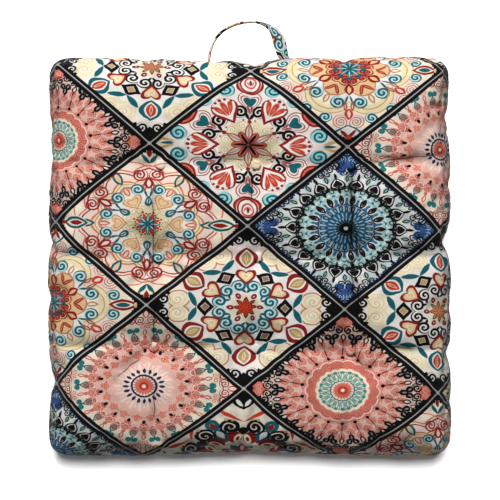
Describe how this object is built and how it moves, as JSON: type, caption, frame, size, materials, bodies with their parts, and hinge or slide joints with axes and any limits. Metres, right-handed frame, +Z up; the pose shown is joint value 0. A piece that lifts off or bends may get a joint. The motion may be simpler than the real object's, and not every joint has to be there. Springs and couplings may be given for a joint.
{
  "type": "meditation cushion",
  "caption": "Square tufted floor cushion with a boxed wall, covered buttons and a cloth hand loop at one edge.",
  "frame": {"origin": "middle of the whole outline, loop included, on the floor under the cushion", "axes": "+Z up out of the printed face, +Y towards the hand loop, +X to the right as the face is read"},
  "size_m": [0.613, 0.6682, 0.119],
  "materials": {
    "printed_cloth": "matt plain weave, printed with a lattice of diamonds",
    "strap_cloth": "matt plain weave, the same print folded into a strap",
    "button_cloth": "matt plain weave drawn over a button"
  },
  "bodies": {
    "root": {"cushion": "printed_cloth", "handle": "strap_cloth", "button_face_1": "button_cloth", "button_face_2": "button_cloth", "button_face_3": "button_cloth", "button_face_4": "button_cloth", "button_face_5": "button_cloth", "button_face_6": "button_cloth", "button_face_7": "button_cloth", "button_face_8": "button_cloth", "button_face_9": "button_cloth", "button_back_1": "button_cloth", "button_back_2": "button_cloth", "button_back_3": "button_cloth", "button_back_4": "button_cloth", "button_back_5": "button_cloth", "button_back_6": "button_cloth", "button_back_7": "button_cloth", "button_back_8": "button_cloth", "button_back_9": "button_cloth"}
  },
  "joints": []
}
